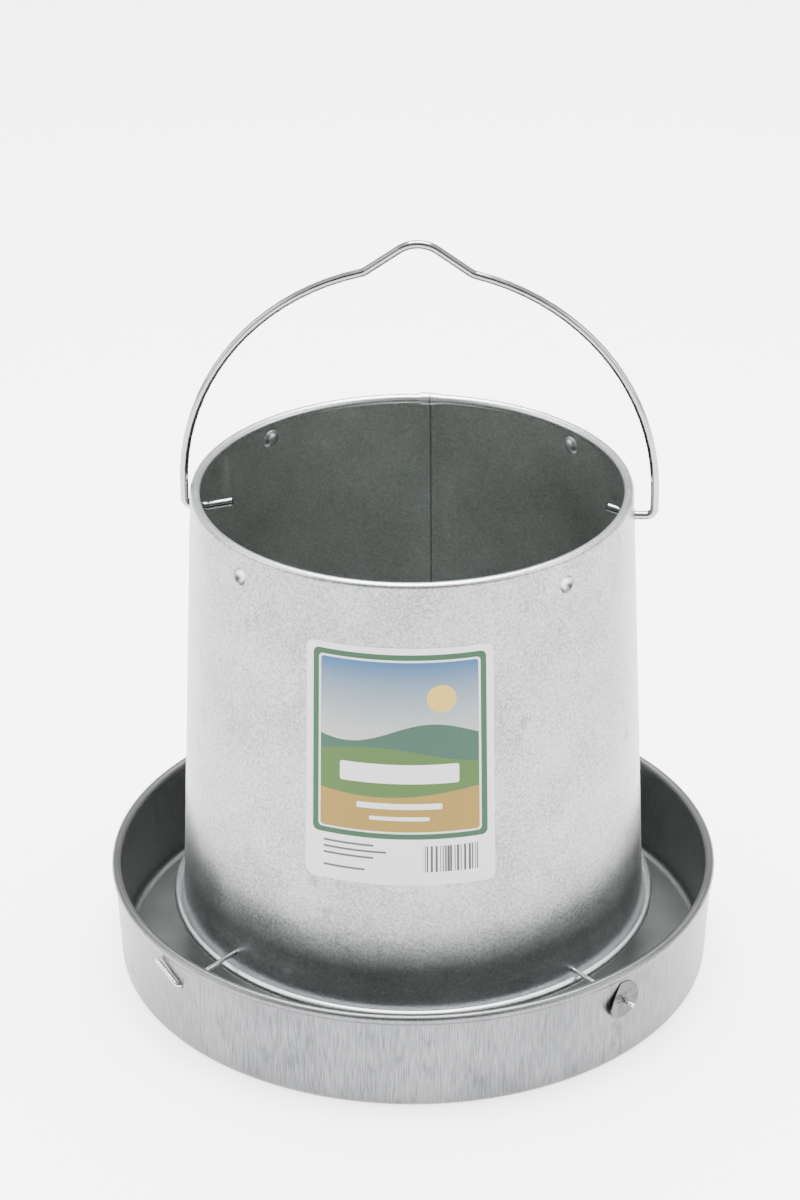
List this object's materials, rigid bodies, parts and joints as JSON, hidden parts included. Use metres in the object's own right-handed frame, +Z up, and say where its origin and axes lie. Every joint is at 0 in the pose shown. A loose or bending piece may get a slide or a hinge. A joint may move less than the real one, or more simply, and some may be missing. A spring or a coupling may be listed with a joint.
{
  "type": "gravity poultry feeder",
  "caption": "Hanging gravity feeder for poultry: an open galvanised hopper tapers out over a round pan, held by crossed wire rods, with a swinging wire bail.",
  "frame": {"origin": "middle of the pan's underside, on the floor", "axes": "+Z up along the hopper's axis; +X along the bail's hinge axis towards the right when the label faces the viewer; -Y is the front, where the label is"},
  "size_m": [0.3048, 0.3048, 0.383],
  "materials": {
    "galvanised_pan": "galvanised, fine vertical brushing",
    "galvanised_hopper": "galvanised, fine mottled grain",
    "bail_wire": "galvanised wire, bright",
    "rod_wire": "galvanised wire, bright",
    "nut_steel": "dull zinc coated spring steel",
    "label_film": "printed self-adhesive film, satin"
  },
  "bodies": {
    "feeder": {"pan": "galvanised_pan", "hopper": "galvanised_hopper", "cross_rod_upper": "rod_wire", "cross_rod_lower": "rod_wire", "push_nut_upper": "nut_steel", "push_nut_lower": "nut_steel", "label": "label_film"},
    "bail": {"bail": "bail_wire"}
  },
  "joints": [
    {"name": "bail_swing", "type": "hinge", "parent": "feeder", "child": "bail", "pos_m": [0, 0, 0.244], "axis": [1, 0, 0], "range_deg": [-112, 112]}
  ]
}
